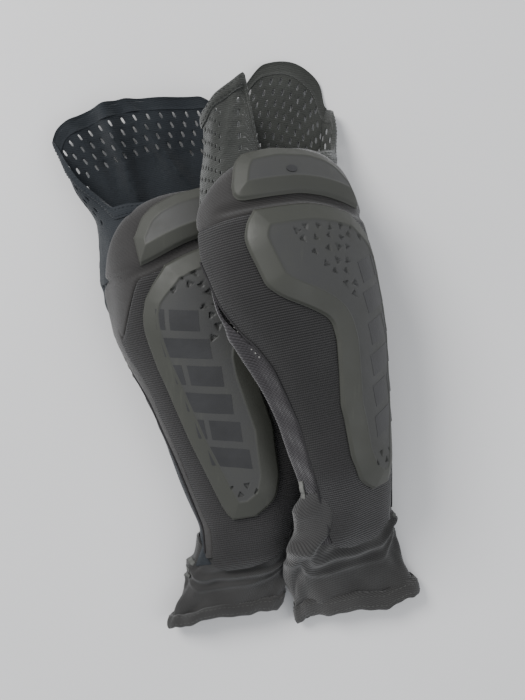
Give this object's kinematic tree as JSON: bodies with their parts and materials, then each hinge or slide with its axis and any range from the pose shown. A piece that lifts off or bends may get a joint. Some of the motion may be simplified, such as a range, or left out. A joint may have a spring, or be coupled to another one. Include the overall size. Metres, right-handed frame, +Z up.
{
  "type": "knee guards",
  "caption": "Pair of pull-on knee and shin guards with moulded plates over knit-covered foam, perforated thigh sleeves and elastic calf cuffs, one leaning on the other",
  "frame": {"origin": "centre of the bounding box at table level", "axes": "+Z up from the table; +Y from the calf cuffs towards the thigh sleeves; +X towards the upper, right guard. The left guard lies on its flat back and the right one leans on its inner flank."},
  "size_m": [0.2545, 0.4221, 0.1175],
  "materials": {
    "cuff_knit": "matte twill-faced stretch knit",
    "ribbed_knit": "matte ribbed abrasion knit",
    "fine_knit": "matte fine knit",
    "side_twill": "matte diagonal twill",
    "liner_knit": "matte lining",
    "sleeve_mesh": "matte perforated stretch fabric",
    "hem_knit": "folded hem, matte",
    "piping_cord": "matte cord piping",
    "plate_polymer": "satin moulded polymer",
    "plate_inlay": "smooth recessed panels",
    "print_rubber": "raised print",
    "tag_rubber": "soft moulded tag",
    "impact_foam": "closed-cell foam",
    "grip_silicone": "tacky silicone"
  },
  "bodies": {
    "left_cuff": {"left_calf_cuff": "cuff_knit", "left_calf_hem": "cuff_knit", "left_cuff_gusset": "cuff_knit"},
    "left_shin": {"left_ankle_sleeve": "cuff_knit", "left_cuff_grip_print": "print_rubber", "left_shin_plate": "plate_polymer", "left_shin_plate_bars": "plate_inlay", "left_knee_foam": "impact_foam", "left_shin_foam": "impact_foam", "left_pad_liner": "liner_knit", "left_front_cover": "ribbed_knit", "left_inner_side_foam": "impact_foam", "left_outer_side_foam": "impact_foam", "left_inner_side_panel": "side_twill", "left_outer_side_panel": "side_twill", "left_inner_piping": "piping_cord", "left_outer_piping": "piping_cord", "left_inner_tag": "tag_rubber", "left_outer_tag": "tag_rubber", "left_back_panel": "sleeve_mesh", "left_flex_gusset": "ribbed_knit", "left_knee_crease_panel": "sleeve_mesh"},
    "left_thigh": {"left_thigh_plate": "plate_polymer", "left_thigh_plate_badge": "plate_inlay", "left_thigh_foam": "impact_foam", "left_thigh_cover": "fine_knit", "left_thigh_sleeve": "sleeve_mesh", "left_thigh_hem": "hem_knit", "left_thigh_gripper": "grip_silicone"},
    "right_cuff": {"right_calf_cuff": "cuff_knit", "right_calf_hem": "cuff_knit", "right_cuff_gusset": "cuff_knit"},
    "right_shin": {"right_ankle_sleeve": "cuff_knit", "right_cuff_grip_print": "print_rubber", "right_shin_plate": "plate_polymer", "right_shin_plate_bars": "plate_inlay", "right_knee_foam": "impact_foam", "right_shin_foam": "impact_foam", "right_pad_liner": "liner_knit", "right_front_cover": "ribbed_knit", "right_inner_side_foam": "impact_foam", "right_outer_side_foam": "impact_foam", "right_inner_side_panel": "side_twill", "right_outer_side_panel": "side_twill", "right_inner_piping": "piping_cord", "right_outer_piping": "piping_cord", "right_inner_tag": "tag_rubber", "right_outer_tag": "tag_rubber", "right_back_panel": "sleeve_mesh", "right_flex_gusset": "ribbed_knit", "right_knee_crease_panel": "sleeve_mesh"},
    "right_thigh": {"right_thigh_plate": "plate_polymer", "right_thigh_plate_badge": "plate_inlay", "right_thigh_foam": "impact_foam", "right_thigh_cover": "fine_knit", "right_thigh_sleeve": "sleeve_mesh", "right_thigh_hem": "hem_knit", "right_thigh_gripper": "grip_silicone"}
  },
  "joints": [
    {"name": "left_cuff_bend", "type": "hinge", "parent": "left_cuff", "child": "left_shin", "pos_m": [-0.00184, -0.17121, 0.006], "axis": [0.9816, 0.1908, 0], "range_deg": [0, 16], "deforming": ["left_cuff_gusset"]},
    {"name": "left_knee_flex", "type": "hinge", "parent": "left_shin", "child": "left_thigh", "pos_m": [-0.03181, 0.06291, 0.02196], "axis": [-0.9799, -0.1905, 0.0601], "range_deg": [0, 56], "deforming": ["left_flex_gusset", "left_knee_crease_panel"]},
    {"name": "right_guard_lift", "type": "slide", "parent": "left_cuff", "child": "right_cuff", "axis": [0, 0, 1], "range_m": [0, 0.09]},
    {"name": "right_cuff_bend", "type": "hinge", "parent": "right_cuff", "child": "right_shin", "pos_m": [0.07353, -0.15695, 0.006], "axis": [0.9781, 0.2079, 0], "range_deg": [0, 16], "deforming": ["right_cuff_gusset"]},
    {"name": "right_knee_flex", "type": "hinge", "parent": "right_shin", "child": "right_thigh", "pos_m": [0.02914, 0.08511, 0.05146], "axis": [-0.7493, -0.1593, 0.6428], "range_deg": [0, 28], "deforming": ["right_flex_gusset", "right_knee_crease_panel"]}
  ],
  "couplings": [
    {"joint": "left_knee_flex", "follows": "left_cuff_bend", "ratio": 3.5},
    {"joint": "right_guard_lift", "follows": "left_cuff_bend", "m_per_rad": 0.3},
    {"joint": "right_knee_flex", "follows": "right_cuff_bend", "ratio": 1.75}
  ]
}
